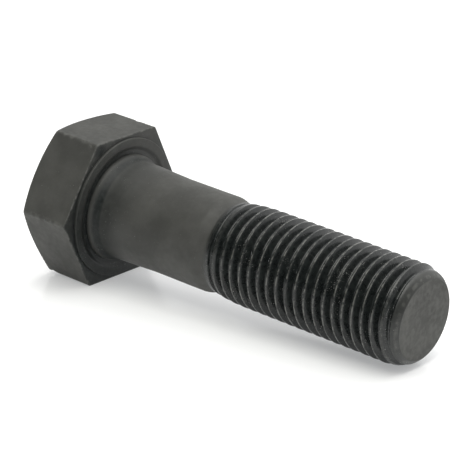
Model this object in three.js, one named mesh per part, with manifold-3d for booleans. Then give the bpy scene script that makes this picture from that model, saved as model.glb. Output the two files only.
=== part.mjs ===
// A metric hex bolt, M27 x 3 x 100, partly threaded, in black-oxide steel.
//
// The real bolt is one forging with a rolled thread. It is modelled here as its named regions,
// which meet face to face on planes across the axis and together fill the whole bolt:
// hex_head, washer_face, underhead_fillet, plain_shank, thread_runout, full_thread, chamfered_end.
//
// Millimetres. The axis is the X axis. x = 0 is the flat top of the head, and +X runs down the
// shank to the thread's end. Two of the head's wrench flats face +Z and -Z.

import * as THREE from 'three';
import { mergeVertices } from 'three/addons/utils/BufferGeometryUtils.js';
import Module from 'manifold-3d';

const wasm = await Module();
wasm.setup();

// Driving dimensions.
const LENGTH = 100; // from the bearing face to the end
const HEAD_HEIGHT = 17.3; // washer face included
const ACROSS_FLATS = 40.9;
const HEX_CORNER_RADIUS = 1.1; // rounding of the six upright edges
const HEAD_CHAMFER_ANGLE = THREE.MathUtils.degToRad(24);
const HEAD_TOP_DIAMETER = 39.4; // flat circle inside the chamfer
const WASHER_FACE_DIAMETER = 39;
const WASHER_FACE_HEIGHT = 0.7;
const COLLAR_DIAMETER = 30; // at the root of the shank, inside the bearing face
const SHANK_DIAMETER = 26.6;
const THREAD_DIAMETER = 27;
const PITCH = 3;
const END_FLAT_DIAMETER = 21.4;

// The shallow dished recess in the bearing face, round the collar.
const RECESS_DIAMETER = 34.8;
const RECESS_FLOOR_DIAMETER = 32;
const RECESS_DEPTH = 0.5;

// Where each region ends, as a distance from the bearing face.
const FILLET_END = 6;
const SHANK_END = 34.5;
const RUNOUT_END = 52;
const FULL_THREAD_END = 95;

// The collar at the root of the fillet, and the taper that the forging die leaves on the shank.
const COLLAR_LENGTH = 1.1;
const COLLAR_EDGE = 0.3;
const FILLET_FOOT_DIAMETER = 27.5;
const TAPER_END = 18;

// The waist between shank and thread is the blank's rolling diameter. From there the crests
// grow, fast at first, until the thread is full. The groove deepens from a little before it.
const WAIST_DIAMETER = 24.9;
const WAIST_AT = 38.4;
const CRESTS_FULL_AT = 50;
const CREST_GROWTH_POWER = 2.5;
const GROOVE_FROM = 36;
const GROOVE_FULL_AT = 42;

// ISO metric thread: a 60 degree groove with a narrow flat root.
const HALF_FLANK_ANGLE = THREE.MathUtils.degToRad(30);
const ROOT_DIAMETER = THREAD_DIAMETER - 1.2269 * PITCH;
const ROOT_WIDTH = PITCH / 6;
const CUTTER_OVERHANG = 0.3; // how far the cutter stands out beyond the crests or the shank
const GROOVE_CLOCKING = 2.3; // x of a groove's middle at +Y, less the whole pitches before it

// The chamfered end: the crests slope down to a rim, and a softly rounded chamfer runs from the
// rim to the end flat. A bulge of 1 would make it a quarter ellipse, and 2 a straight cone.
const CRESTS_FULL_TO = 95.3;
const RIM_DIAMETER = 24.8;
const RIM_AT = 98.1;
const CHAMFER_BULGE = 1.5;

const AROUND = 36; // facets round a turned surface, and helix steps in a turn
const CURVE_STEPS = 6; // points along a curved stretch of a profile
const BLOCK_SIZE = 60; // wider than the bolt, for the blocks that divide it
const BLOCK_OVERRUN = 10; // how far the outermost blocks reach past the threaded length

const black = { color: 0x3b3c39, roughness: 0.62, metalness: 0.35 };
const oiled = { color: 0x262826, roughness: 0.38, metalness: 0.45 };

// x of a point given as a distance from the bearing face.
const along = (distance) => HEAD_HEIGHT + distance;

// A smooth step from 0 to 1 as value goes from start to end.
const ease = (value, start, end) => THREE.MathUtils.smoothstep(value, start, end);

// A closed geometry as a manifold-3d solid.
function solidOf(geometry) {
  const bare = geometry.index ? geometry.toNonIndexed() : geometry.clone();
  bare.deleteAttribute('normal');
  bare.deleteAttribute('uv');
  const merged = mergeVertices(bare, 1e-4);
  const mesh = new wasm.Mesh({
    numProp: 3,
    vertProperties: merged.attributes.position.array,
    triVerts: new Uint32Array(merged.index.array),
  });
  return new wasm.Manifold(mesh);
}

// A manifold-3d solid as a geometry.
function geometryOf(solid) {
  const mesh = solid.getMesh();
  const geometry = new THREE.BufferGeometry();
  geometry.setAttribute('position', new THREE.BufferAttribute(mesh.vertProperties, 3));
  geometry.setIndex(new THREE.BufferAttribute(mesh.triVerts, 1));
  geometry.computeVertexNormals();
  return geometry;
}

// A surface turned about the X axis. The profile's points are [x, radius], from the head's side
// to the end's side, and the ends are closed on the axis.
function turned(profile) {
  const first = profile[0];
  const last = profile[profile.length - 1];
  const outline = [[first[0], 0], ...profile, [last[0], 0]];
  const points = outline.map(([x, radius]) => new THREE.Vector2(radius, x));
  const geometry = new THREE.LatheGeometry(points, AROUND);
  geometry.rotateZ(-Math.PI / 2);
  return geometry;
}

// The block of space between two planes across the axis.
function slab(fromX, toX) {
  const geometry = new THREE.BoxGeometry(toX - fromX, BLOCK_SIZE, BLOCK_SIZE);
  geometry.translate((fromX + toX) / 2, 0, 0);
  return solidOf(geometry);
}

// The hexagon with rounded corners, in the YZ plane, with flats facing +Z and -Z.
function hexagonOutline() {
  const shape = new THREE.Shape();
  const centreRadius = (ACROSS_FLATS / 2 - HEX_CORNER_RADIUS) / Math.cos(Math.PI / 6);
  for (let corner = 0; corner < 6; corner += 1) {
    const angle = (corner * Math.PI) / 3;
    const centreX = centreRadius * Math.cos(angle);
    const centreY = centreRadius * Math.sin(angle);
    shape.absarc(centreX, centreY, HEX_CORNER_RADIUS, angle - Math.PI / 6, angle + Math.PI / 6, false);
  }
  shape.closePath();
  return shape;
}

// The hexagonal prism, chamfered round its top by a cone.
function hexHead() {
  const depth = HEAD_HEIGHT - WASHER_FACE_HEIGHT;
  const settings = { depth, bevelEnabled: false, curveSegments: 3 };
  const prism = new THREE.ExtrudeGeometry(hexagonOutline(), settings);
  // The shape's x becomes Y, its y becomes Z, and the extrusion runs along X.
  prism.applyMatrix4(new THREE.Matrix4().set(0, 0, 1, 0, 1, 0, 0, 0, 0, 1, 0, 0, 0, 0, 0, 1));
  const outerRadius = ACROSS_FLATS * 0.6;
  const coneDepth = (outerRadius - HEAD_TOP_DIAMETER / 2) * Math.tan(HEAD_CHAMFER_ANGLE);
  const chamfer = turned([
    [0, HEAD_TOP_DIAMETER / 2],
    [coneDepth, outerRadius],
    [depth, outerRadius],
  ]);
  return geometryOf(solidOf(prism).intersect(solidOf(chamfer)));
}

// The thin round disc that bears on the joint, with the recess that runs in to the collar.
function washerFace() {
  return turned([
    [along(-WASHER_FACE_HEIGHT), WASHER_FACE_DIAMETER / 2],
    [along(0), WASHER_FACE_DIAMETER / 2],
    [along(0), RECESS_DIAMETER / 2],
    [along(-RECESS_DEPTH), RECESS_FLOOR_DIAMETER / 2],
    [along(-RECESS_DEPTH), COLLAR_DIAMETER / 2],
    [along(0), COLLAR_DIAMETER / 2],
  ]);
}

// A short collar, then a hollow curve that runs out into the shank.
function underheadFillet() {
  const collarRadius = COLLAR_DIAMETER / 2;
  const footRadius = FILLET_FOOT_DIAMETER / 2;
  const profile = [
    [along(0), collarRadius],
    [along(COLLAR_LENGTH - COLLAR_EDGE), collarRadius],
    [along(COLLAR_LENGTH), collarRadius - COLLAR_EDGE],
  ];
  const drop = collarRadius - COLLAR_EDGE - footRadius;
  for (let step = 1; step <= CURVE_STEPS; step += 1) {
    const share = step / CURVE_STEPS;
    const x = along(COLLAR_LENGTH + share * (FILLET_END - COLLAR_LENGTH));
    profile.push([x, footRadius + drop * (1 - share) ** 2]);
  }
  return turned(profile);
}

function plainShank() {
  return turned([
    [along(FILLET_END), FILLET_FOOT_DIAMETER / 2],
    [along(TAPER_END), SHANK_DIAMETER / 2],
    [along(SHANK_END), SHANK_DIAMETER / 2],
  ]);
}

// Radius of the crests, or of the plain blank where there is no thread yet.
function crestRadius(distance) {
  const shank = SHANK_DIAMETER / 2;
  const waist = WAIST_DIAMETER / 2;
  const crest = THREAD_DIAMETER / 2;
  if (distance < WAIST_AT) {
    return shank + (waist - shank) * ease(distance, SHANK_END, WAIST_AT);
  }
  const remaining = (CRESTS_FULL_AT - distance) / (CRESTS_FULL_AT - WAIST_AT);
  return waist + (crest - waist) * (1 - Math.max(remaining, 0) ** CREST_GROWTH_POWER);
}

// The thread's blank: shank's shoulder, waist, full crests, and the rounded end.
function threadBlank() {
  const profile = [];
  for (const [from, to] of [[SHANK_END, WAIST_AT], [WAIST_AT, CRESTS_FULL_AT]]) {
    for (let step = 0; step < CURVE_STEPS; step += 1) {
      const distance = from + ((to - from) * step) / CURVE_STEPS;
      profile.push([along(distance), crestRadius(distance)]);
    }
  }
  profile.push([along(CRESTS_FULL_AT), THREAD_DIAMETER / 2]);
  profile.push([along(CRESTS_FULL_TO), THREAD_DIAMETER / 2]);
  const rim = RIM_DIAMETER / 2;
  const flat = END_FLAT_DIAMETER / 2;
  for (let step = 0; step <= CURVE_STEPS; step += 1) {
    const turn = ((step / CURVE_STEPS) * Math.PI) / 2;
    const x = along(RIM_AT + (LENGTH - RIM_AT) * Math.sin(turn) ** CHAMFER_BULGE);
    profile.push([x, flat + (rim - flat) * Math.max(Math.cos(turn), 0) ** CHAMFER_BULGE]);
  }
  return solidOf(turned(profile));
}

// The groove's path: a right-hand helix about the X axis, which starts outside the blank and
// sinks to the thread's root. Its frames hold the groove's section in planes through the axis.
class GroovePath extends THREE.Curve {
  constructor() {
    super();
    this.firstTurn = Math.floor((along(GROOVE_FROM) - GROOVE_CLOCKING) / PITCH);
    this.lastTurn = Math.ceil(along(LENGTH) / PITCH) + 1;
  }

  get turns() {
    return this.lastTurn - this.firstTurn;
  }

  angleAt(t) {
    return 2 * Math.PI * this.turns * t;
  }

  outwardAt(t) {
    const angle = this.angleAt(t);
    return new THREE.Vector3(0, Math.cos(angle), Math.sin(angle));
  }

  getPoint(t) {
    const x = GROOVE_CLOCKING + PITCH * (this.firstTurn + this.turns * t);
    const lift = SHANK_DIAMETER / 2 + CUTTER_OVERHANG - ROOT_DIAMETER / 2;
    const sunk = ease(x, along(GROOVE_FROM), along(GROOVE_FULL_AT));
    const radius = ROOT_DIAMETER / 2 + lift * (1 - sunk);
    return this.outwardAt(t).multiplyScalar(radius).setX(x);
  }

  getPointAt(u) {
    return this.getPoint(u);
  }

  getTangentAt(u) {
    const angle = this.angleAt(u);
    const lead = PITCH / (Math.PI * ROOT_DIAMETER);
    return new THREE.Vector3(lead, -Math.sin(angle), Math.cos(angle)).normalize();
  }

  computeFrenetFrames(segments) {
    const frames = { tangents: [], normals: [], binormals: [] };
    for (let i = 0; i <= segments; i += 1) {
      frames.tangents.push(this.getTangentAt(i / segments));
      frames.normals.push(this.outwardAt(i / segments));
      frames.binormals.push(new THREE.Vector3(-1, 0, 0));
    }
    return frames;
  }
}

// The groove as a solid: a V with a flat root, swept along its path.
function grooveCutter() {
  const depth = (THREAD_DIAMETER - ROOT_DIAMETER) / 2 + CUTTER_OVERHANG;
  const halfRoot = ROOT_WIDTH / 2;
  const halfMouth = halfRoot + depth * Math.tan(HALF_FLANK_ANGLE);
  const section = new THREE.Shape([
    new THREE.Vector2(0, -halfRoot),
    new THREE.Vector2(depth, -halfMouth),
    new THREE.Vector2(depth, halfMouth),
    new THREE.Vector2(0, halfRoot),
  ]);
  const path = new GroovePath();
  const settings = { steps: AROUND * path.turns, extrudePath: path, bevelEnabled: false };
  return solidOf(new THREE.ExtrudeGeometry(section, settings));
}

const threaded = threadBlank().subtract(grooveCutter());

// The threaded stretch between two distances from the bearing face.
function threadedRegion(from, to) {
  return geometryOf(threaded.intersect(slab(along(from), along(to))));
}

const regions = [
  ['hex_head', hexHead(), black],
  ['washer_face', washerFace(), black],
  ['underhead_fillet', underheadFillet(), black],
  ['plain_shank', plainShank(), black],
  ['thread_runout', threadedRegion(SHANK_END - BLOCK_OVERRUN, RUNOUT_END), oiled],
  ['full_thread', threadedRegion(RUNOUT_END, FULL_THREAD_END), oiled],
  ['chamfered_end', threadedRegion(FULL_THREAD_END, LENGTH + BLOCK_OVERRUN), oiled],
];

const bolt = new THREE.Group();
for (const [name, geometry, finish] of regions) {
  const mesh = new THREE.Mesh(geometry, new THREE.MeshStandardMaterial(finish));
  mesh.name = name;
  bolt.add(mesh);
}

export default bolt;
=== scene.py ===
# The looks of a black-oxide hex bolt, M27 x 3 x 100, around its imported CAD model.
#
# Each region of the bolt is a fine closed mesh, which replaces the faceted CAD region that it is
# named after. Lengths are in millimetres in the CAD's frame: the axis is X, x = 0 is the head's
# flat top, and +X runs to the thread's end. Angles go round the axis from +Y towards +Z. Points
# are scaled to metres when a mesh is made.

import math

import bpy
import numpy as np
from mathutils import Matrix, Vector, noise


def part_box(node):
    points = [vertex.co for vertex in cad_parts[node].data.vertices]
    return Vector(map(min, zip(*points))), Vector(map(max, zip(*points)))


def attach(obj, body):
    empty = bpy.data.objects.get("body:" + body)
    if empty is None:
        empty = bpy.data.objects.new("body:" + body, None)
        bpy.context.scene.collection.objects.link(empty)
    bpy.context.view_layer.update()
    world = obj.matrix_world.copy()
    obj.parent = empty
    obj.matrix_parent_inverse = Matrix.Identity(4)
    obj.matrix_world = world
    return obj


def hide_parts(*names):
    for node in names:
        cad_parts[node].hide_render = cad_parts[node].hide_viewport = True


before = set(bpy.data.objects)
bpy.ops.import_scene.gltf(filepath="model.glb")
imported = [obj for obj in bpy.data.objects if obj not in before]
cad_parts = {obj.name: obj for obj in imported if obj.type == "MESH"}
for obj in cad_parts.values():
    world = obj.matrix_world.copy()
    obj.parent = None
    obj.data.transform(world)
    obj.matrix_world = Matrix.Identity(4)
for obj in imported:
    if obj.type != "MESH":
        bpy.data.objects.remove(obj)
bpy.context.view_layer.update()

MM = 0.001
TURN = 2 * math.pi


def far_corner(node):
    """The highest corner of a CAD node's box, in millimetres."""
    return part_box(node)[1] / MM


# Sizes that the frame gives.
HEX_END = far_corner("hex_head").x
HALF_FLATS = far_corner("hex_head").z
BEARING = far_corner("washer_face").x
WASHER_RADIUS = far_corner("washer_face").z
COLLAR_RADIUS = far_corner("underhead_fillet").z
FILLET_END = far_corner("underhead_fillet").x
SHANK_END = far_corner("plain_shank").x
FOOT_RADIUS = far_corner("plain_shank").z
RUNOUT_END = far_corner("thread_runout").x
THREAD_END = far_corner("full_thread").x
CREST_RADIUS = far_corner("full_thread").z
BOLT_END = far_corner("chamfered_end").x

# The head.
HEX_CORNER_RADIUS = 1.1
HEAD_TOP_RADIUS = 19.7
HEAD_CHAMFER = math.radians(24)
TOP_EDGE_SOFTNESS = 0.3
CHAMFER_EDGE = 0.4  # how far the rounding between chamfer and flats reaches along the flats
CHAMFER_EDGE_INSET = 0.22  # and how far in from them it starts
HEX_UNDER_EDGE = 0.3
WASHER_EDGE = 0.22

# The shallow dished recess in the bearing face, round the collar.
RECESS_RADIUS = 17.4
RECESS_FLOOR_RADIUS = 16.0
RECESS_DEPTH = 0.5

# The shank, and the collar and fillet at its root.
COLLAR_LENGTH = 1.1
COLLAR_TAPER = 0.05
COLLAR_EDGE = 0.35
COLLAR_EDGE_SOFTNESS = 0.3
COLLAR_EDGE_AT = BEARING + COLLAR_LENGTH - 0.15  # the middle of the collar's rounded edge
COLLAR_SINK = 0.05  # how far the collar's foot reaches past the recess's floor
FILLET_POWER = 3.2
SHANK_RADIUS = 13.3
TAPER_END = BEARING + 18

# The thread, as in the CAD, with the rounded root and crests of a rolled thread.
PITCH = 3.0
GROOVE_CLOCKING = 2.3
ROOT_RADIUS = CREST_RADIUS - 0.61345 * PITCH
ROOT_ROUNDING = 0.1443 * PITCH
FLANK_ANGLE = math.radians(60)  # measured from the bolt's axis
CREST_ROUNDING = 0.16
WAIST_RADIUS = 12.45
WAIST = BEARING + 38.4
CRESTS_FULL_FROM = BEARING + 50
CREST_GROWTH_POWER = 2.5
GROOVE_FROM = BEARING + 36
GROOVE_FULL_FROM = BEARING + 42
CRESTS_FULL_TO = BEARING + 95.3
RIM = BEARING + 98.1
RIM_RADIUS = 12.4
RIM_BLEND = 0.5  # how far each way the thread's skin and the chamfer's blend at the rim
END_FLAT_RADIUS = 10.7
CHAMFER_BULGE = 1.5  # 1 makes the chamfer a quarter ellipse, and 2 a straight cone
FLAT_STARTS = RIM + (BOLT_END - RIM) * math.pi / 2  # measured along the blank's outline
CUTTER_OVERHANG = 0.3

# How fine the meshes are.
HEX_FLAT_STEPS = 30
HEX_CORNER_STEPS = 10
EDGE_STEPS = 6  # rings round a rounded edge
TOP_COARSE_TO = 18.0
TOP_FINE_FROM = 18.5
CONE_FROM = 19.9  # radius where the rings of the flat top give way to those of the chamfer
TOP_RINGS = 12
CONE_RINGS = 8
FLAT_RINGS = 60
UNDERSIDE_RINGS = 14
BEARING_RINGS = 44
COLLAR_RINGS = 10
COLLAR_EDGE_RINGS = 14
FILLET_RINGS = 22
SHANK_RINGS = 66
AROUND = 192
ROOT_ROWS_TO = 0.38  # from here to CREST_ROWS_FROM, the rows of points cross a flank
CREST_ROWS_FROM = 1.14
CREST_ROWS_TO = 1.42
ROOT_ROWS = 5
FLANK_ROWS = 6
CREST_EDGE_ROWS = 7
ROW_SNAP = 0.05  # a row this near the end of its region is moved onto it
SAME_PLACE = 1e-4  # points this near along the outline are on the same ring
CENTRE_HOLE = 1.5  # radius of the last ring on a flat end, inside which a fan closes it
HIDDEN_SHARE = 0.7  # a face hidden between two regions has its last ring this far out

# How far the skins lie inside the CAD's, as layers of a depth and the size of its lumps.
FLAT_WANDER = ((0.035, 9.0), (0.008, 1.4))
SHANK_RIPPLE = ((0.02, 7.0), (0.004, 1.1))
FACE_DISHING = ((0.03, 6.0),)

# Knocks on the upright edges of the hexagon: place along the axis, angle round it, size, depth.
KNOCKS = [
    (8.6, math.radians(180), 0.8, 0.32),
    (11.4, math.radians(180), 0.5, 0.18),
    (14.8, math.radians(121), 1.1, 0.3),
    (5.0, math.radians(119), 0.6, 0.16),
    (3.2, math.radians(241), 0.9, 0.25),
    (12.5, math.radians(299), 0.7, 0.22),
    (7.0, math.radians(1), 0.8, 0.25),
    (10.2, math.radians(60), 0.6, 0.2),
]
KNOCK_INSET = 0.2  # how far inside the sharp corner of the hexagon a knock is centred

# Damage on the thread's crests and the end face: pits of a size and a rarity, and their depth.
CREST_KNOCKS = (0.9, 0.45)
CREST_KNOCK_DEPTH = 0.16
CREST_RAGGEDNESS = (3.5, 0)
CREST_RAGGED_DEPTH = 0.03
FACE_DENTS = (1.6, 0.25)
FACE_DENT_DEPTH = 0.06

# How rubbed the edges are, from 0 to 1, and how far from an edge the wear reaches.
TOP_EDGE_WEAR = 0.4
TOP_EDGE_WEAR_REACH = 0.4
CHAMFER_CORNER_WEAR = 0.3
CHAMFER_EDGE_WEAR = 0.35
CHAMFER_EDGE_CORNER_WEAR = 0.25
CHAMFER_EDGE_WEAR_REACH = 1.0
FLAT_END_WEAR = 0.35
UPRIGHT_EDGE_WEAR = 0.48
UPRIGHT_EDGE_WEAR_REACH = 0.5
UNDER_EDGE_WEAR = 0.6
UNDER_EDGE_WEAR_REACH = 0.7
UNDERSIDE_WEAR = 0.3
KNOCK_WEAR = 0.6
WASHER_EDGE_WEAR = 0.3
BEARING_WEAR = 0.1
COLLAR_EDGE_WEAR = 0.25
COLLAR_EDGE_WEAR_REACH = 0.5
LOW_CREST_WEAR = 0.42
FULL_CREST_WEAR = 0.9
CHAMFER_WEAR = 0.55
END_FACE_WEAR = 0.46

# Oil and painted shade, from 0 to 1. Painted shade darkens the head's low side, its corners and the
# hollows, strongest on the darker side, and the shank near the head. Both sides are angles round
# the axis.
LOW_SIDE = math.radians(235.6)
LOW_SIDE_SHADE = 0.9
DARKER_SIDE = math.radians(200)
HOLLOW_SHADE = 1.2
HOLLOW_SHADE_WIDTH = 1.5
HOLLOW_SHADE_AT = COLLAR_EDGE_AT + 1.3
WASHER_CORNER_SHADE = 0.5
CORNER_SHADE_EVERYWHERE = 0.1  # the least that is left anywhere round the head's corner
SHANK_SHADE_EVERYWHERE = 0.3
SHANK_SHADE = 0.6
SHANK_SHADE_REACH = 11
# A shadow painted under the head by one hex corner: its radius, angle round the axis and size.
CORNER_SHADOW_RADIUS = 21.0
CORNER_SHADOW_ANGLE = math.radians(119)
CORNER_SHADOW_SIZE = 2.7
CREST_DRYNESS = 0.2
CHAMFER_DRYNESS = 0.9
CHAMFER_SIDE_DARKENING = 0.8

# The finish, as colours and roughness of the dry oxide, the oily oxide, rubbed steel and dust.
DRY_DARK = (0.042, 0.0425, 0.0385)
DRY_LIGHT = (0.063, 0.0635, 0.058)
# The oily colours also paint shade: under the head, in its corners and hollows, and on the shank
# near it.
OIL_AND_SHADE_DARK = (0.0095, 0.0115, 0.0115)
OIL_AND_SHADE_LIGHT = (0.020, 0.0235, 0.0225)
WORN = (0.15, 0.151, 0.14)
DUST = (0.22, 0.22, 0.21)
DRY_ROUGHNESS = (0.58, 0.68)

# Sizes of the patterns in the finish.
BLOTCHES = 11
MOTTLE = 1.3
GRAIN = 0.22
SCUFFS = 1.4
DUST_CLUSTERS = 5
DUST_FLECKS = 0.3
NOISE_ROUGHNESS = 0.55

# Where the oil and painted shade are thick, their roughness and how strongly they reflect: a dull
# film under the head, and a wet one in the thread.
DULL_FILM = (0.42, 0.25)
WET_FILM = (0.17, 0.42)
GLOSSIEST = 0.1  # the roughness of oiled crests where they are rubbed bright
REFRACTIVE_INDEX = 1.5
DRY_SPECULAR = 0.4

# The floor is a white table that glows a little, so that shadows on it stay faint.
FLOOR_REACH = 6000
FLOOR_PATCHES = 300
FLOOR_DARK = (0.78, 0.78, 0.78)
FLOOR_LIGHT = (0.81, 0.81, 0.81)
FLOOR_ROUGHNESS = 0.2
FLOOR_SPECULAR = 0.35
FLOOR_GLOW = 0.32
FLOOR_GLOW_COLOUR = (0.975, 0.99, 1.0)

FRONT_SOFTBOX_COLOUR = (1.0, 0.995, 0.95)


def ease(value, start, end):
    """A smooth step from 0 to 1 as value goes from start to end."""
    share = np.clip((np.asarray(value, float) - start) / (end - start), 0, 1)
    return share * share * (3 - 2 * share)


def fade(distance, width):
    """1 where the distance is 0, fading to nearly 0 at twice the width."""
    return np.exp(-((distance / width) ** 2))


def soft_min(a, b, width):
    """The lower of a and b, rounded where they cross."""
    share = np.clip(0.5 + 0.5 * (b - a) / width, 0, 1)
    return b + (a - b) * share - width * share * (1 - share)


def soft_max(a, b, width):
    """The higher of a and b, rounded where they cross."""
    return -soft_min(-a, -b, width)


def polar(x, radius, angle):
    """Points on the turned surface of that radius, for arrays that broadcast together."""
    x, radius, angle = np.broadcast_arrays(x, radius, angle)
    return np.stack([x, radius * np.cos(angle), radius * np.sin(angle)], axis=-1)


def distance(points, centre):
    """How far each point is from the centre."""
    return np.linalg.norm(points - centre, axis=1)


def radius_of(points):
    """How far each point is from the bolt's axis."""
    return np.linalg.norm(points[:, 1:], axis=1)


def facing(points, direction):
    """1 on the side of the bolt at that angle round the axis, falling to 0 on the opposite side."""
    angle = np.arctan2(points[:, 2], points[:, 1])
    return 0.5 * (1 + np.cos(angle - direction))


def roughness_field(points, size, octaves=3):
    """Smooth noise from about -1 to 1 at each point, with lumps about size millimetres across."""
    return np.array([noise.fractal(Vector(p), 1.0, 2.0, octaves) for p in points / size])


def unevenness(points, layers):
    """How far a skin lies inside its true shape at each point. A layer is a depth and a size."""
    return sum(depth * (1 + roughness_field(points, size)) for depth, size in layers)


def pits(points, size, rarity):
    """How deep each point lies in scattered pits. The higher the rarity, the fewer there are."""
    return np.maximum(roughness_field(points, size, octaves=2) - rarity, 0)


# ---- Meshes ------------------------------------------------------------------------------------


def make_piece(name, points, faces, material, wear, oil_and_shade, sharp_angle=38):
    """Makes the mesh of one region, which rides on the bolt and replaces its CAD node. wear says
    how rubbed the skin is at each point, and oil how much oil and painted shade darken it, from 0
    to 1."""
    mesh = bpy.data.meshes.new(name)
    mesh.from_pydata((points * MM).tolist(), [], faces)
    mesh.validate()
    for label, values in (("wear", wear), ("oil_and_shade", oil_and_shade)):
        layer = mesh.attributes.new(label, "FLOAT", "POINT")
        layer.data.foreach_set("value", np.asarray(values, np.float32))
    mesh.shade_smooth()
    mesh.set_sharp_from_angle(angle=math.radians(sharp_angle))
    mesh.materials.append(material)
    piece = bpy.data.objects.new(name + "_fine", mesh)
    bpy.context.scene.collection.objects.link(piece)
    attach(piece, "root")
    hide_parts(name)
    return piece


def closed(values):
    """Values at a tube's points, followed by 0 at the centres of its two ends."""
    return np.append(values, [0, 0])


def end_fans(first_ring, last_ring, first_centre, last_centre):
    """Triangles that close both ends of a tube whose rings go from low to high x."""
    count = len(first_ring)
    faces = []
    for i in range(count):
        following = (i + 1) % count
        faces.append((first_centre, first_ring[following], first_ring[i]))
        faces.append((last_centre, last_ring[i], last_ring[following]))
    return faces


def grid_faces(index):
    """Faces between the neighbouring rows and columns of a grid of vertex numbers."""
    corners = [index[:-1, :-1], index[:-1, 1:], index[1:, 1:], index[1:, :-1]]
    return np.stack(corners, axis=-1).reshape(-1, 4).tolist()


def lofted(rings):
    """Points and faces of the closed surface through an array of rings, from low to high x."""
    rows, columns, _ = rings.shape
    centres = rings[[0, -1]].mean(axis=1)
    points = np.concatenate([rings.reshape(-1, 3), centres])
    index = np.arange(rows * columns).reshape(rows, columns)
    fans = end_fans(index[0].tolist(), index[-1].tolist(), len(points) - 2, len(points) - 1)
    return points, grid_faces(np.column_stack([index, index[:, 0]])) + fans


# ---- Head --------------------------------------------------------------------------------------


def hexagon():
    """The rounded hexagon as points and outward normals in the YZ plane, and how near each point
    is to a corner, from 0 on a flat to 1 on the rounding."""
    points, normals, nearness = [], [], []
    centre_radius = (HALF_FLATS - HEX_CORNER_RADIUS) / math.cos(math.pi / 6)
    half_flat = centre_radius / 2
    for side in range(6):
        corner_angle = side * TURN / 6
        centre = centre_radius * np.array([math.cos(corner_angle), math.sin(corner_angle)])
        for step in range(HEX_CORNER_STEPS + 1):
            angle = corner_angle + TURN / 6 * (step / HEX_CORNER_STEPS - 0.5)
            normal = np.array([math.cos(angle), math.sin(angle)])
            points.append(centre + HEX_CORNER_RADIUS * normal)
            normals.append(normal)
            nearness.append(1.0)
        flat_angle = corner_angle + TURN / 12
        normal = np.array([math.cos(flat_angle), math.sin(flat_angle)])
        along = np.array([-normal[1], normal[0]])
        for step in range(1, HEX_FLAT_STEPS):
            # Points crowd towards the corners, where the rounding and the wear are.
            place = -math.cos(math.pi * step / HEX_FLAT_STEPS) * half_flat
            points.append(HALF_FLATS * normal + place * along)
            normals.append(normal)
            nearness.append(fade(half_flat - abs(place), UPRIGHT_EDGE_WEAR_REACH))
    return np.array(points), np.array(normals), np.array(nearness)


def top_and_cone(radius):
    """x of the head's flat top and chamfer at a radius."""
    slope = (radius - HEAD_TOP_RADIUS) * math.tan(HEAD_CHAMFER)
    return soft_max(np.zeros_like(radius), slope, TOP_EDGE_SOFTNESS)


def head_rings():
    """Rings over the whole head: flat top, chamfer cone, wrench flats and underside."""
    outline, normals, nearness = hexagon()
    reach = np.linalg.norm(outline, axis=1)
    spokes = outline / reach[:, None]
    rings, wear = [], []

    def add(x, flat_points, edge):
        x = np.broadcast_to(x, reach.shape)
        rings.append(np.column_stack([x, flat_points]))
        wear.append(np.broadcast_to(edge, reach.shape))

    coarse = np.linspace(CENTRE_HOLE, TOP_COARSE_TO, TOP_RINGS)
    fine = np.linspace(TOP_FINE_FROM, CONE_FROM, TOP_RINGS)
    for radius in [*coarse, *fine]:
        rubbed = TOP_EDGE_WEAR * fade(radius - HEAD_TOP_RADIUS, TOP_EDGE_WEAR_REACH)
        add(top_and_cone(np.full_like(reach, radius)), radius * spokes, rubbed)

    # The chamfer from there to its rounded edge with the flats. From here on, each stretch starts
    # a little past the end of the one before.
    edge_x = top_and_cone(reach)
    before = reach - CHAMFER_EDGE_INSET
    for share in np.linspace(0.2, 1, CONE_RINGS):
        radius = np.maximum(CONE_FROM + share * (before - CONE_FROM), CONE_FROM)
        add(top_and_cone(radius), radius[:, None] * spokes, CHAMFER_CORNER_WEAR * nearness)
    for t in np.linspace(0.2, 1, EDGE_STEPS):
        # A quadratic curve from the cone, round the edge, to the flat.
        a, b, c = (1 - t) ** 2, 2 * t * (1 - t), t * t
        radius = a * before + (b + c) * reach
        x = a * top_and_cone(before) + b * edge_x + c * (edge_x + CHAMFER_EDGE)
        rubbed = CHAMFER_EDGE_WEAR + CHAMFER_EDGE_CORNER_WEAR * nearness
        add(x, radius[:, None] * spokes, rubbed)

    start = edge_x + CHAMFER_EDGE
    stop = HEX_END - HEX_UNDER_EDGE
    for share in np.linspace(0.012, 1, FLAT_RINGS):
        x = start + share * (stop - start)
        near_chamfer = fade(x - edge_x, CHAMFER_EDGE_WEAR_REACH)
        near_underside = fade(HEX_END - x, UNDER_EDGE_WEAR_REACH)
        flat_end = FLAT_END_WEAR * np.maximum(near_chamfer, near_underside)
        add(x, outline, np.maximum(flat_end, UPRIGHT_EDGE_WEAR * nearness))
    for turn in np.linspace(0, math.pi / 2, EDGE_STEPS)[1:]:
        inset = HEX_UNDER_EDGE * (1 - math.cos(turn))
        x = stop + HEX_UNDER_EDGE * math.sin(turn)
        add(x, outline - inset * normals, UNDER_EDGE_WEAR)
    rim = outline - HEX_UNDER_EDGE * normals
    for share in np.linspace(0, 1, UNDERSIDE_RINGS)[1:]:
        add(HEX_END, rim + share * (WASHER_RADIUS * spokes - rim), UNDERSIDE_WEAR * (1 - share))
    add(HEX_END, HIDDEN_SHARE * WASHER_RADIUS * spokes, 0)
    return np.array(rings), np.array(wear), normals


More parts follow.
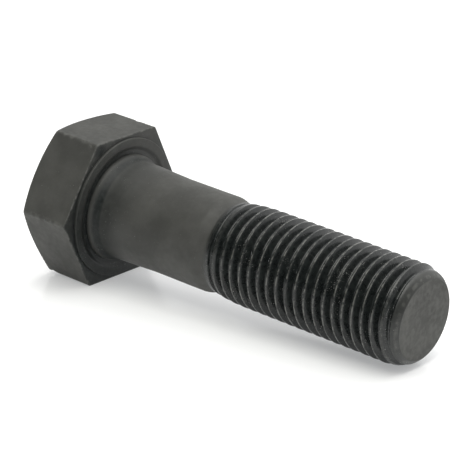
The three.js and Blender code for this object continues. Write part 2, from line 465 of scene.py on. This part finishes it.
def underside_shade(points):
    """Painted shade under the head: in its corner with the washer face, all over its low side, and
    in one painted shadow by a hex corner."""
    corner = 1 - ease(radius_of(points), WASHER_RADIUS + 0.6, WASHER_RADIUS + 2.2)
    low = facing(points, LOW_SIDE)
    in_corner = CORNER_SHADE_EVERYWHERE + (1 - CORNER_SHADE_EVERYWHERE) * np.sqrt(low)
    corner_shadow = fade(distance(points, polar(HEX_END, CORNER_SHADOW_RADIUS, CORNER_SHADOW_ANGLE)), CORNER_SHADOW_SIZE)
    film = np.maximum(np.maximum(corner * in_corner, LOW_SIDE_SHADE * low), corner_shadow)
    return ease(points[:, 0], HEX_END - 0.2, HEX_END) * film


def make_head(material):
    rings, wear, normals = head_rings()
    points, faces = lofted(rings)
    wear = closed(wear)
    # Painted shade under the head darkens its corner with the washer face and its low side.
    oil_and_shade = underside_shade(points)
    # Forged flats aren't quite flat: they wander inwards by a few hundredths of a millimetre.
    wander = unevenness(points, FLAT_WANDER)
    outward = np.concatenate([np.tile(normals, (len(rings), 1)), np.zeros((2, 2))])
    # The wander fades out towards both ends of the flats, and the top has its own.
    x = points[:, 0].copy()
    on_side = ease(x, 0.5, 2.5) * (1 - ease(x, HEX_END - 0.6, HEX_END - 0.3))
    on_top = 1 - ease(x, 0.0, 0.6)
    points[:, 1:] -= outward * (wander * on_side)[:, None]
    points[:, 0] += np.maximum(wander, 0) * on_top
    for place, angle, size, depth in KNOCKS:
        direction = np.array([0, math.cos(angle), math.sin(angle)])
        corner_radius = 2 * HALF_FLATS / math.sqrt(3) - KNOCK_INSET
        near = fade(distance(points, np.array([place, 0, 0]) + direction * corner_radius), size)
        points -= (near * depth)[:, None] * direction
        wear = np.maximum(wear, KNOCK_WEAR * near)
    return make_piece("hex_head", points, faces, material, wear, oil_and_shade, sharp_angle=30)


def make_washer_face(material):
    """The thin bearing disc, with a rounded edge and the shallow recess that the collar stands
    in."""
    inner = HIDDEN_SHARE * COLLAR_RADIUS
    # Each ring is its x and radius, how rubbed it is, and how much painted shade darkens it.
    profile = [(HEX_END, inner, 0.0, 0.0), (HEX_END, WASHER_RADIUS, 0.0, WASHER_CORNER_SHADE)]
    for turn in np.linspace(0, math.pi / 2, EDGE_STEPS):
        x = BEARING - WASHER_EDGE * (1 - math.sin(turn))
        radius = WASHER_RADIUS - WASHER_EDGE * (1 - math.cos(turn))
        profile.append((x, radius, WASHER_EDGE_WEAR, 0.0))
    for radius in np.linspace(WASHER_RADIUS - WASHER_EDGE, COLLAR_RADIUS - 0.5, BEARING_RINGS)[1:]:
        sunk = float(ease(radius, RECESS_RADIUS, RECESS_FLOOR_RADIUS))
        profile.append((BEARING - RECESS_DEPTH * sunk, radius, BEARING_WEAR * (1 - sunk), sunk))
    profile.append((BEARING - RECESS_DEPTH, inner, 0.0, 1.0))
    angles = np.arange(AROUND) * TURN / AROUND
    points, faces = lofted(np.array([polar(x, radius, angles) for x, radius, _, _ in profile]))
    wear = closed(np.repeat([rubbed for _, _, rubbed, _ in profile], AROUND))
    oil_and_shade = closed(np.repeat([wet for _, _, _, wet in profile], AROUND))
    # The painted shade in the recess and the corner is strongest on the darker side, and painted
    # shade darkens the low side too.
    oil_and_shade = oil_and_shade * np.sqrt(facing(points, DARKER_SIDE))
    oil_and_shade = np.maximum(oil_and_shade, LOW_SIDE_SHADE * facing(points, LOW_SIDE))
    return make_piece("washer_face", points, faces, material, wear, oil_and_shade)


# ---- Shank -------------------------------------------------------------------------------------


def shank_radius(x):
    """Radius of the collar, the hollow fillet and the plain shank."""
    x = np.asarray(x, float)
    flat_end = BEARING + COLLAR_LENGTH
    collar = COLLAR_RADIUS - COLLAR_TAPER * (x - BEARING)
    hollow_start = COLLAR_RADIUS - COLLAR_EDGE
    remaining = np.clip((FILLET_END - x) / (FILLET_END - flat_end), 0, None)
    hollow = FOOT_RADIUS + (hollow_start - FOOT_RADIUS) * remaining**FILLET_POWER
    near = soft_min(collar, hollow, COLLAR_EDGE_SOFTNESS)
    taper = np.clip((TAPER_END - x) / (TAPER_END - FILLET_END), 0, 1)
    far = SHANK_RADIUS + (FOOT_RADIUS - SHANK_RADIUS) * taper
    return np.where(x < FILLET_END, near, far)


def turned_region(name, stations, material, wear, oil_and_shade):
    """A region of collar, fillet or shank. wear, and the oil and painted shade, are functions of x.
    """
    angles = np.arange(AROUND) * TURN / AROUND
    points, faces = lofted(np.array([polar(x, shank_radius(x), angles) for x in stations]))
    skin = points[:-2]
    skin[:, 1:] *= (1 - unevenness(skin, SHANK_RIPPLE) / radius_of(skin))[:, None]
    rubbed = closed(np.repeat([wear(x) for x in stations], AROUND))
    film = closed(np.repeat([oil_and_shade(x) for x in stations], AROUND))
    # The painted shade is strongest on the darker side, and fainter everywhere else.
    on_side = np.sqrt(facing(points, DARKER_SIDE))
    film = film * (SHANK_SHADE_EVERYWHERE + (1 - SHANK_SHADE_EVERYWHERE) * on_side)
    return make_piece(name, points, faces, material, rubbed, film)


def head_shade_on_shank(x):
    """Painted shade along the shank, where the head shades it, fading away from the hollow under
    the head.
    """
    return SHANK_SHADE * (1 - ease(x, FILLET_END - 2, FILLET_END + SHANK_SHADE_REACH))


def make_fillet(material):
    """The collar, whose foot stands in the recess, and the hollow, both darkened with painted
    shade.
    """
    foot = BEARING - RECESS_DEPTH - COLLAR_SINK
    before_edge = COLLAR_EDGE_AT - 0.4
    past_edge = COLLAR_EDGE_AT + 0.6
    stations = [
        *np.linspace(foot, before_edge, COLLAR_RINGS)[:-1],
        *np.linspace(before_edge, past_edge, COLLAR_EDGE_RINGS)[:-1],
        *np.linspace(past_edge, FILLET_END, FILLET_RINGS),
    ]

    def wear(x):
        return COLLAR_EDGE_WEAR * fade(x - COLLAR_EDGE_AT, COLLAR_EDGE_WEAR_REACH)

    # Painted shade in the recess, in the hollow and on the shank beyond the collar's edge.
    def oil_and_shade(x):
        in_recess = 1 - ease(x, BEARING - 0.4, BEARING + 0.3)
        in_hollow = HOLLOW_SHADE * fade(x - HOLLOW_SHADE_AT, HOLLOW_SHADE_WIDTH)
        shank_shade = head_shade_on_shank(x) * ease(x, COLLAR_EDGE_AT, COLLAR_EDGE_AT + 1)
        return float(max(in_recess, in_hollow, shank_shade))

    return turned_region("underhead_fillet", stations, material, wear, oil_and_shade)


def make_shank(material):
    stations = np.linspace(FILLET_END, SHANK_END, SHANK_RINGS)
    return turned_region("plain_shank", stations, material, lambda x: 0.0, head_shade_on_shank)


# ---- Thread ------------------------------------------------------------------------------------


def row_offsets():
    """Where the rows of points run across one pitch, crowded at the root and the crest's edges."""
    root = np.linspace(0, ROOT_ROWS_TO, ROOT_ROWS)[:-1]
    flank = np.linspace(ROOT_ROWS_TO, CREST_ROWS_FROM, FLANK_ROWS)[:-1]
    crest_edge = np.linspace(CREST_ROWS_FROM, CREST_ROWS_TO, CREST_EDGE_ROWS)[:-1]
    half = np.concatenate([root, flank, crest_edge, [CREST_ROWS_TO, PITCH / 2]])
    return np.concatenate([-half[:0:-1], half[:-1]])


def crest_radius(x):
    """The envelope of the crests, or the plain blank where there is no thread yet."""
    shoulder = SHANK_RADIUS + (WAIST_RADIUS - SHANK_RADIUS) * ease(x, SHANK_END, WAIST)
    remaining = np.clip((CRESTS_FULL_FROM - x) / (CRESTS_FULL_FROM - WAIST), 0, 1)
    growing = CREST_RADIUS - (CREST_RADIUS - WAIST_RADIUS) * remaining**CREST_GROWTH_POWER
    fall = np.clip((x - CRESTS_FULL_TO) / (RIM - CRESTS_FULL_TO), 0, None)
    sloping = CREST_RADIUS - (CREST_RADIUS - RIM_RADIUS) * fall
    return np.where(x < WAIST, shoulder, np.minimum(growing, sloping))


def groove_radius(x, angle):
    """Radius of the groove's rounded root and flanks, which lift off the blank in the run-out."""
    middle = GROOVE_CLOCKING + PITCH * angle / TURN
    across = np.abs((x - middle + PITCH / 2) % PITCH - PITCH / 2)
    tangent = ROOT_ROUNDING * math.sin(FLANK_ANGLE)
    arc_across = np.minimum(across, tangent)
    arc = ROOT_ROUNDING - np.sqrt(np.maximum(ROOT_ROUNDING**2 - arc_across**2, 0))
    depth = arc + math.tan(FLANK_ANGLE) * np.maximum(across - tangent, 0)
    lift = SHANK_RADIUS + CUTTER_OVERHANG - ROOT_RADIUS
    sunk = ease(x, GROOVE_FROM, GROOVE_FULL_FROM)
    return ROOT_RADIUS + depth + lift * (1 - sunk)


def blank_point(s):
    """x and radius of the unthreaded blank, s millimetres along its outline. s is x itself up to
    the rim, then runs round the end's rounding, then over the end flat towards the axis."""
    depth = BOLT_END - RIM
    turn = np.clip((s - RIM) / depth, 0, math.pi / 2)
    x = np.where(s < RIM, s, RIM + depth * np.sin(turn) ** CHAMFER_BULGE)
    inwards = np.maximum(np.cos(turn), 0) ** CHAMFER_BULGE
    rounding = END_FLAT_RADIUS + (RIM_RADIUS - END_FLAT_RADIUS) * inwards
    radius = np.where(s < RIM, crest_radius(s), rounding)
    return x, radius - np.maximum(s - FLAT_STARTS, 0)


def helical_grid(start, end):
    """Vertices as columns round the bolt and places s along it, and faces between rows that run
    with the thread. Rows past start or end are gathered onto it, which trims the grid square."""
    turns = range(
        math.floor((start - GROOVE_CLOCKING) / PITCH) - 2,
        math.ceil((end - GROOVE_CLOCKING) / PITCH) + 2,
    )
    rows = np.concatenate([GROOVE_CLOCKING + PITCH * turn + row_offsets() for turn in turns])
    columns = np.arange(AROUND + 1)
    s = rows[:, None] + PITCH * columns / AROUND
    s[s < start + ROW_SNAP] = start
    s[s > end - ROW_SNAP] = end
    # The seam's two sides, and rows gathered on one spot, share a key and become one vertex.
    fineness, stride = 10**5, 10**9
    keys = (columns % AROUND) * stride + np.rint(s * fineness).astype(np.int64)
    keys, index = np.unique(keys, return_inverse=True)
    faces = [tuple(dict.fromkeys(quad)) for quad in grid_faces(index.reshape(s.shape))]
    faces = [face for face in faces if len(face) > 2]
    return keys // stride, (keys % stride) / fineness, faces


def thread_wear(s, on_crest):
    """How rubbed the thread and the end are. Full crests are rubbed brighter than the low and
    sloping ones."""
    past_groove = ease(s, GROOVE_FULL_FROM, CRESTS_FULL_FROM)
    full_crest = past_groove * (1 - ease(s, CRESTS_FULL_TO - PITCH, CRESTS_FULL_TO))
    crest = on_crest * (LOW_CREST_WEAR + (FULL_CREST_WEAR - LOW_CREST_WEAR) * full_crest)
    before_flat = 1 - ease(s, FLAT_STARTS - 1.1, FLAT_STARTS - 0.4)
    chamfer = CHAMFER_WEAR * ease(s, RIM + 0.9, RIM + 1.5) * before_flat
    face = END_FACE_WEAR * ease(s, FLAT_STARTS - 0.3, FLAT_STARTS + 0.3)
    return np.maximum(crest, np.maximum(chamfer, face))


def thread_oil_and_darkening(s, points, on_crest):
    """How oily the thread and the end are. The grooves hold the most, the chamfer is darker on one
    side only, and the end flat is dry."""
    on_side = np.sqrt(facing(points, DARKER_SIDE))
    on_chamfer = ease(s, RIM - RIM_BLEND, RIM + RIM_BLEND)
    dry_chamfer = on_chamfer * (CHAMFER_DRYNESS - CHAMFER_SIDE_DARKENING * on_side)
    held = np.maximum(1 - CREST_DRYNESS * on_crest - dry_chamfer, 0)
    past_waist = ease(s, WAIST - 0.8, WAIST + 1.2)
    return held * past_waist * (1 - ease(s, FLAT_STARTS - 0.5, FLAT_STARTS))


def threaded_region(name, start, end, material):
    """A stretch of thread between two places s along the blank's outline."""
    column, s, faces = helical_grid(start, end)
    angle = column * TURN / AROUND
    x, blank = blank_point(s)
    points = polar(x, blank, angle)
    # Handling leaves small knocks along the crests, and rolling leaves them a little ragged.
    on_skin = 1 - ease(s, RIM - RIM_BLEND, RIM + RIM_BLEND)
    threaded = ease(s, GROOVE_FROM, GROOVE_FULL_FROM)
    damage = CREST_KNOCK_DEPTH * pits(points, *CREST_KNOCKS)
    damage = damage + CREST_RAGGED_DEPTH * pits(points, *CREST_RAGGEDNESS)
    worn_blank = blank - on_skin * threaded * damage - unevenness(points, SHANK_RIPPLE) * on_skin
    radius = soft_min(worn_blank, groove_radius(x, angle), CREST_ROUNDING)
    points = polar(x, radius, angle)
    # The end face is as sheared: slightly dished and dented.
    on_face = ease(s, FLAT_STARTS - 0.3, FLAT_STARTS + 0.3)
    dents = FACE_DENT_DEPTH * pits(points, *FACE_DENTS)
    points[:, 0] -= on_face * (dents + unevenness(points, FACE_DISHING))
    points[:, 0] = np.minimum(points[:, 0], BOLT_END)
    on_crest = (1 - ease(blank - radius, 0.02, 0.16)) * threaded
    wear = thread_wear(s, on_crest * on_skin)
    oil_and_shade = thread_oil_and_darkening(s, points, on_crest)
    first_ring = np.flatnonzero(s <= start + SAME_PLACE)
    last_ring = np.flatnonzero(s >= end - SAME_PLACE)
    centres = [points[ring].mean(axis=0) for ring in (first_ring, last_ring)]
    count = len(points)
    points = np.concatenate([points, centres])
    faces += end_fans(first_ring.tolist(), last_ring.tolist(), count, count + 1)
    return make_piece(name, points, faces, material, closed(wear), closed(oil_and_shade))


# ---- Materials ---------------------------------------------------------------------------------


class NodeTree:
    """A new material's node tree, with short calls for the nodes that the finishes share."""

    def __init__(self, name):
        self.material = bpy.data.materials.new(name)
        self.material.use_nodes = True
        self.tree = self.material.node_tree
        self.shader = self.tree.nodes["Principled BSDF"]
        self.place = self.tree.nodes.new("ShaderNodeTexCoord").outputs["Object"]

    def link(self, source, target):
        self.tree.links.new(source, target)

    def noise(self, size, detail):
        """Noise with lumps about size millimetres across."""
        node = self.tree.nodes.new("ShaderNodeTexNoise")
        node.inputs["Scale"].default_value = 1 / (size * MM)
        node.inputs["Detail"].default_value = detail
        node.inputs["Roughness"].default_value = NOISE_ROUGHNESS
        self.link(self.place, node.inputs["Vector"])
        return node.outputs["Fac"]

    def attribute(self, name):
        node = self.tree.nodes.new("ShaderNodeAttribute")
        node.attribute_name = name
        return node.outputs["Fac"]

    def ramp(self, source, low, high, low_value=0.0, high_value=1.0):
        """Source from low to high becomes low_value to high_value, held outside."""
        node = self.tree.nodes.new("ShaderNodeMapRange")
        node.interpolation_type = "SMOOTHSTEP"
        node.inputs["From Min"].default_value = low
        node.inputs["From Max"].default_value = high
        node.inputs["To Min"].default_value = low_value
        node.inputs["To Max"].default_value = high_value
        self.link(source, node.inputs["Value"])
        return node.outputs["Result"]

    def maths(self, operation, a, b):
        """An operation on two values, each a number or a socket."""
        node = self.tree.nodes.new("ShaderNodeMath")
        node.operation = operation
        for socket, value in zip(node.inputs, (a, b)):
            if isinstance(value, (int, float)):
                socket.default_value = value
            else:
                self.link(value, socket)
        return node.outputs[0]

    def mix(self, factor, a, b):
        """Colour a to colour b by factor. A colour is three numbers or a socket."""
        node = self.tree.nodes.new("ShaderNodeMix")
        node.data_type = "RGBA"
        self.link(factor, node.inputs["Factor"])
        colours = [socket for socket in node.inputs if socket.type == "RGBA"]
        for socket, value in zip(colours, (a, b)):
            if isinstance(value, tuple):
                socket.default_value = (*value, 1)
            else:
                self.link(value, socket)
        return next(socket for socket in node.outputs if socket.type == "RGBA")

    def bump(self, height, distance, strength, normal=None):
        node = self.tree.nodes.new("ShaderNodeBump")
        node.inputs["Distance"].default_value = distance * MM
        node.inputs["Strength"].default_value = strength
        self.link(height, node.inputs["Height"])
        if normal is not None:
            self.link(normal, node.inputs["Normal"])
        return node.outputs["Normal"]


def oxide_colour(nodes, mottle, oil_and_shade, worn):
    """Blotched dry oxide, darker where it is oily and where shade is painted, lighter where it is
    rubbed, and dusty.
    """
    blotches = nodes.noise(BLOTCHES, detail=5)
    dry = nodes.mix(nodes.ramp(blotches, 0.35, 0.65), DRY_DARK, DRY_LIGHT)
    dry = nodes.mix(nodes.ramp(mottle, 0.55, 0.8, 0, 0.25), dry, DRY_LIGHT)
    # The oily colours also stand for painted shade, where the oil attribute carries it.
    oily_and_shaded = nodes.mix(nodes.ramp(mottle, 0.35, 0.7), OIL_AND_SHADE_DARK, OIL_AND_SHADE_LIGHT)
    colour = nodes.mix(oil_and_shade, dry, oily_and_shaded)
    colour = nodes.mix(worn, colour, WORN)
    # Dust lies in flecks everywhere, and in loose clusters where the oil and painted shade are.
    clusters = nodes.ramp(nodes.noise(DUST_CLUSTERS, detail=2), 0.45, 0.7)
    clusters = nodes.maths("MULTIPLY", clusters, oil_and_shade)
    flecks = nodes.noise(DUST_FLECKS, detail=1)
    flecks = nodes.maths("ADD", flecks, nodes.maths("MULTIPLY", clusters, 0.13))
    dust = nodes.ramp(flecks, 0.76, 0.82, 0, 0.9)
    return nodes.mix(dust, colour, DUST)


def oxide_roughness(nodes, mottle, oil_and_shade, worn, oily_roughness):
    """Dull and uneven where dry, smoother where oily, and smoothest on rubbed, oily crests."""
    smoothest_dry, dullest_dry = DRY_ROUGHNESS
    dullness = nodes.ramp(mottle, 0.3, 0.7, 0, dullest_dry - smoothest_dry)
    bare = nodes.maths("SUBTRACT", 1.0, nodes.maths("MULTIPLY", oil_and_shade, 0.8))
    roughness = nodes.maths("ADD", nodes.maths("MULTIPLY", dullness, bare), smoothest_dry)
    wetness = nodes.maths("MULTIPLY", oil_and_shade, smoothest_dry - oily_roughness)
    polish = nodes.maths("MULTIPLY", nodes.maths("MULTIPLY", worn, oil_and_shade), 0.4)
    wetness = nodes.maths("ADD", wetness, polish)
    return nodes.maths("MAXIMUM", nodes.maths("SUBTRACT", roughness, wetness), GLOSSIEST)


def oxide(name, film):
    """Black oxide on steel, with edge wear, grain, painted shade and a film of oil that is dull or
    wet.
    """
    oily_roughness, oily_specular = film
    nodes = NodeTree(name)
    mottle = nodes.noise(MOTTLE, detail=3)
    grain = nodes.noise(GRAIN, detail=2)
    oil_and_shade = nodes.attribute("oil_and_shade")
    scuffed = nodes.ramp(nodes.noise(SCUFFS, detail=4), 0.4, 0.62)
    rubbed = nodes.ramp(nodes.attribute("wear"), 0.2, 1, 0, 0.8)
    worn = nodes.maths("MULTIPLY", rubbed, scuffed)
    sockets = nodes.shader.inputs
    nodes.link(oxide_colour(nodes, mottle, oil_and_shade, worn), sockets["Base Color"])
    roughness = oxide_roughness(nodes, mottle, oil_and_shade, worn, oily_roughness)
    nodes.link(roughness, sockets["Roughness"])
    sockets["IOR"].default_value = REFRACTIVE_INDEX
    specular = nodes.ramp(oil_and_shade, 0.3, 0.9, DRY_SPECULAR, oily_specular)
    nodes.link(specular, sockets["Specular IOR Level"])
    mottled = nodes.bump(mottle, distance=0.05, strength=0.3)
    nodes.link(nodes.bump(grain, 0.02, 0.5, mottled), sockets["Normal"])
    return nodes.material


# ---- Stage, light and camera -------------------------------------------------------------------


def make_floor():
    """The floor, tilted in the bolt's frame, because the bolt lies on a hex edge and its thread."""
    slope = math.atan2(HALF_FLATS - CREST_RADIUS, CRESTS_FULL_TO - HEX_END)
    reach = FLOOR_REACH * MM
    corners = [(-reach, -reach, 0), (reach, -reach, 0), (reach, reach, 0), (-reach, reach, 0)]
    mesh = bpy.data.meshes.new("floor")
    mesh.from_pydata(corners, [], [(0, 1, 2, 3)])
    floor = bpy.data.objects.new("floor", mesh)
    bpy.context.scene.collection.objects.link(floor)
    under_head = Vector((HEX_END, 0, -HALF_FLATS)) * MM
    floor.matrix_world = Matrix.Translation(under_head) @ Matrix.Rotation(-slope, 4, "Y")
    nodes = NodeTree("floor_white")
    tone = nodes.mix(nodes.noise(FLOOR_PATCHES, detail=2), FLOOR_DARK, FLOOR_LIGHT)
    sockets = nodes.shader.inputs
    nodes.link(tone, sockets["Base Color"])
    sockets["Roughness"].default_value = FLOOR_ROUGHNESS
    sockets["Specular IOR Level"].default_value = FLOOR_SPECULAR
    sockets["Emission Color"].default_value = (*FLOOR_GLOW_COLOUR, 1)
    sockets["Emission Strength"].default_value = FLOOR_GLOW
    mesh.materials.append(nodes.material)


def soft_light(name, place, size, watts, colour=(1, 1, 1)):
    """A square softbox that faces the middle of the bolt."""
    data = bpy.data.lights.new(name, "AREA")
    data.shape = "SQUARE"
    data.size = size * MM
    data.energy = watts
    data.color = colour
    light = bpy.data.objects.new(name, data)
    bpy.context.scene.collection.objects.link(light)
    target = Vector((BOLT_END / 2, 0, 0))
    turn = (target - Vector(place)).to_track_quat("-Z", "Y")
    light.matrix_world = Matrix.Translation(Vector(place) * MM) @ turn.to_matrix().to_4x4()


def sky_lobe(tree, place, direction, strength):
    """A stretch of sky that is brightest in one direction and black a quarter turn away."""
    towards = tree.nodes.new("ShaderNodeVectorMath")
    towards.operation = "DOT_PRODUCT"
    towards.inputs[1].default_value = Vector(direction).normalized()
    level = tree.nodes.new("ShaderNodeMapRange")
    level.inputs["To Max"].default_value = strength
    tree.links.new(place.outputs["Generated"], towards.inputs[0])
    tree.links.new(towards.outputs["Value"], level.inputs["Value"])
    return level.outputs["Result"]


def make_lights():
    """A studio with a bright wall behind the bolt, a dimmer one at its thread's end, two softboxes
    overhead, and a small lamp at the front that picks out the crests."""
    soft_light("overhead_front", (60, -300, 850), size=700, watts=6.3, colour=FRONT_SOFTBOX_COLOUR)
    soft_light("overhead_back", (60, 300, 850), size=700, watts=2.6)
    soft_light("front_lamp", (143, -552, 325), size=16, watts=0.2)
    world = bpy.data.worlds.new("studio")
    world.use_nodes = True
    bpy.context.scene.world = world
    tree = world.node_tree
    place = tree.nodes.new("ShaderNodeTexCoord")
    total = tree.nodes.new("ShaderNodeMath")
    wall_behind = sky_lobe(tree, place, direction=(0, 1, 0.3), strength=1.37)
    wall_at_end = sky_lobe(tree, place, direction=(1, 0, 0.3), strength=0.25)
    tree.links.new(wall_behind, total.inputs[0])
    tree.links.new(wall_at_end, total.inputs[1])
    background = tree.nodes["Background"]
    tree.links.new(total.outputs["Value"], background.inputs["Strength"])
    background.inputs["Color"].default_value = (1, 1, 1, 1)


def make_camera():
    """The camera, from its place, the way it looks and its sideways axis."""
    place = Vector((419.3, -474.6, 243.1))
    looking = Vector((-0.56376, 0.73802, -0.37081))
    right = Vector((0.77407, 0.62871, 0.07444))
    data = bpy.data.cameras.new("camera")
    data.lens = 185.3
    data.sensor_width = 36
    data.clip_start = 10 * MM
    data.clip_end = 50000 * MM
    camera = bpy.data.objects.new("camera", data)
    bpy.context.scene.collection.objects.link(camera)
    up = right.cross(looking)
    turn = Matrix((right, up, -looking)).transposed().to_4x4()
    camera.matrix_world = Matrix.Translation(place * MM) @ turn
    bpy.context.scene.camera = camera
    bpy.context.scene.view_settings.view_transform = "Standard"


make_camera()
make_lights()
make_floor()

black_oxide = oxide("black_oxide", DULL_FILM)
oiled_thread = oxide("oiled_thread", WET_FILM)

outline_end = FLAT_STARTS + END_FLAT_RADIUS - CENTRE_HOLE
pieces = {
    "black_oxide": [
        make_head(black_oxide),
        make_washer_face(black_oxide),
        make_fillet(black_oxide),
        make_shank(black_oxide),
    ],
    "oiled_thread": [
        threaded_region("thread_runout", SHANK_END, RUNOUT_END, oiled_thread),
        threaded_region("full_thread", RUNOUT_END, THREAD_END, oiled_thread),
        threaded_region("chamfered_end", THREAD_END, outline_end, oiled_thread),
    ],
}
for slot, made in pieces.items():
    for piece in made:
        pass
